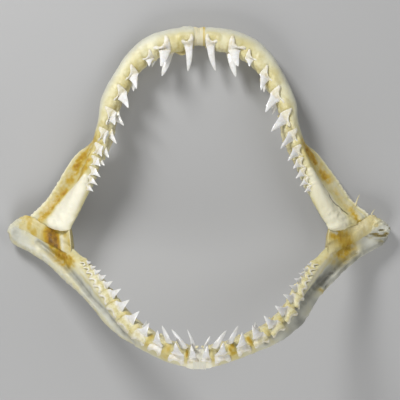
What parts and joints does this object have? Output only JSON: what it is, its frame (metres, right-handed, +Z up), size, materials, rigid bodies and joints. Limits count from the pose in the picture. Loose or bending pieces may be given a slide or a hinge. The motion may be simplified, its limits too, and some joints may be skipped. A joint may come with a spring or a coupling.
{
  "type": "shark jaws",
  "caption": "Dried and spread shark jaws with their teeth, lying on their back with the gape open, as a still museum piece.",
  "frame": {"origin": "bottom centre of the bounding box, on the floor plane", "axes": "+X across the jaws, towards the right of someone facing the open mouth; +Y towards the front of the upper jaw; +Z up"},
  "size_m": [0.3617, 0.3128, 0.1412],
  "materials": {
    "cartilage": "dried cartilage, cream to pale grey, satin",
    "tooth_enamel": "white enamel, glossy",
    "dried_tissue": "dried ligament and gum, amber to tan, dull"
  },
  "bodies": {
    "root": {"upper_jaw_left": "cartilage", "upper_jaw_right": "cartilage", "lower_jaw_left": "cartilage", "lower_jaw_right": "cartilage", "upper_symphysis": "dried_tissue", "lower_symphysis": "dried_tissue", "jaw_joint_left": "dried_tissue", "jaw_joint_right": "dried_tissue"}
  },
  "joints": []
}
